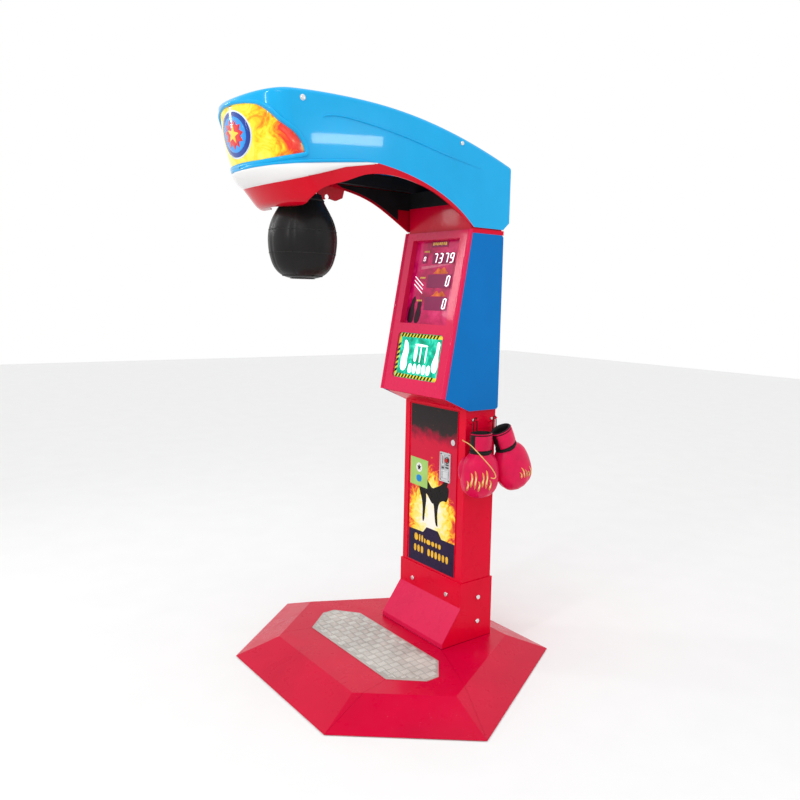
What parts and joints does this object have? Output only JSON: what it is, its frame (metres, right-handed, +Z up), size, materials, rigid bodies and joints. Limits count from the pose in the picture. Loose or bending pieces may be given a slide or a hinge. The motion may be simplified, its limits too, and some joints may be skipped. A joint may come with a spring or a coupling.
{
  "type": "boxing punch machine",
  "caption": "Coin-operated arcade boxing machine: a hanging punch ball swings up into a hollow hood, with a score cabinet on a door column and a hexagonal base.",
  "frame": {"origin": "On the floor, under the middle of the machine's bounding box.", "axes": "+Z up, the player stands on the -Y side and faces +Y, +X is the player's right."},
  "size_m": [1.3986, 1.2401, 2.0998],
  "materials": {
    "red_steel": "gloss paint",
    "red_moulding": "gloss",
    "blue_moulding": "gloss",
    "blue_steel": "gloss paint",
    "white_moulding": "gloss",
    "black_steel": "satin paint",
    "black_board": "matte",
    "foot_rubber": "matte",
    "tread_sheet": "pressed pattern",
    "bright_screws": "polished",
    "bright_steel": "polished",
    "hinge_steel": "gloss paint",
    "coin_plate": "brushed",
    "black_plastic": "matte",
    "button_plastic": "gloss",
    "zinc_steel": "satin",
    "bearing_iron": "as cast",
    "arm_steel": "satin",
    "striker_red": "gloss paint",
    "score_dark": "gloss",
    "score_red": "gloss",
    "lamp_green": "gloss",
    "marquee_print": "gloss",
    "circuit_green": "matte",
    "supply_case": "satin",
    "ball_leather": "smooth",
    "glove_leather": "gloss",
    "rack_steel": "gloss paint"
  },
  "bodies": {
    "machine": {"base_panel_front": "red_steel", "base_panel_rear": "red_steel", "base_panels_front_side": "red_steel", "base_panels_rear_side": "red_steel", "column_post": "red_steel", "column_boot": "red_steel", "kick_panel": "red_steel", "cabinet_collar": "red_steel", "bezel": "red_moulding", "jaw_shell": "red_moulding", "head_shell": "blue_moulding", "side_panel_left": "blue_steel", "side_panel_right": "blue_steel", "lip_band": "white_moulding", "base_frame": "black_steel", "foot_plate": "black_steel", "head_frame": "black_steel", "pivot_brackets": "black_steel", "latch_bracket": "black_steel", "cabinet_floor": "black_steel", "hood_liner": "black_board", "base_feet": "foot_rubber", "rest_bumper": "foot_rubber", "tread_plate": "tread_sheet", "tread_screws": "bright_screws", "boot_bolts": "bright_screws", "dome_screws": "bright_screws", "door_hinge": "hinge_steel", "rear_hinge": "hinge_steel", "speaker": "black_plastic", "mains_inlet": "black_plastic", "hit_sensor": "black_plastic", "cash_box": "zinc_steel", "latch_solenoid": "zinc_steel", "pivot_bearings": "bearing_iron", "score_board": "score_dark", "score_digits": "score_red", "led_panel": "lamp_green", "marquee_light": "lamp_green", "marquee_panel": "marquee_print", "control_board": "circuit_green", "power_supply": "supply_case", "glove_rack": "rack_steel"},
    "ball_arm": {"pivot_shaft": "bright_steel", "swing_arm": "arm_steel", "ball_collar": "bright_steel", "ball": "ball_leather", "striker_plate": "striker_red"},
    "latch": {"latch_plunger": "bright_steel"},
    "front_door": {"coin_door": "red_steel", "coin_faceplate": "coin_plate", "coin_mech": "black_plastic"},
    "front_lock": {"door_lock": "bright_steel"},
    "coin_button": {"reject_button": "button_plastic"},
    "coin_flap": {"return_flap": "bright_steel"},
    "back_door": {"rear_door": "red_steel"},
    "back_lock": {"rear_lock": "bright_steel"},
    "glove_a": {"glove_front": "glove_leather"},
    "glove_b": {"glove_rear": "glove_leather"}
  },
  "joints": [
    {"name": "ball_swing", "type": "hinge", "parent": "machine", "child": "ball_arm", "pos_m": [0, -0.346, 1.87], "axis": [1, 0, 0], "range_deg": [0, 90]},
    {"name": "latch_slide", "type": "slide", "parent": "machine", "child": "latch", "axis": [-1, 0, 0], "range_m": [0, 0.014], "stiffness_N_per_m": 60},
    {"name": "front_door_hinge", "type": "hinge", "parent": "machine", "child": "front_door", "pos_m": [-0.161, 0.258, 0.6665], "axis": [0, 0, -1], "range_deg": [0, 110]},
    {"name": "front_lock_turn", "type": "hinge", "parent": "front_door", "child": "front_lock", "pos_m": [0.133, 0.26, 0.878], "axis": [0, -1, 0], "range_deg": [0, 90]},
    {"name": "reject_button_press", "type": "slide", "parent": "front_door", "child": "coin_button", "axis": [0, 1, 0], "range_m": [0, 0.003], "stiffness_N_per_m": 150},
    {"name": "return_flap_hinge", "type": "hinge", "parent": "front_door", "child": "coin_flap", "pos_m": [0.086, 0.2571, 0.751], "axis": [1, 0, 0], "range_deg": [0, 70]},
    {"name": "back_door_hinge", "type": "hinge", "parent": "machine", "child": "back_door", "pos_m": [-0.161, 0.423, 1.37], "axis": [0, 0, 1], "range_deg": [0, 110]},
    {"name": "back_lock_turn", "type": "hinge", "parent": "back_door", "child": "back_lock", "pos_m": [0.133, 0.42, 1.37], "axis": [0, -1, 0], "range_deg": [0, 90]},
    {"name": "glove_front_lift", "type": "slide", "parent": "machine", "child": "glove_a", "axis": [0.866, 0, 0.5], "range_m": [0, 0.08]},
    {"name": "glove_rear_lift", "type": "slide", "parent": "machine", "child": "glove_b", "axis": [0.866, 0, 0.5], "range_m": [0, 0.08]}
  ]
}
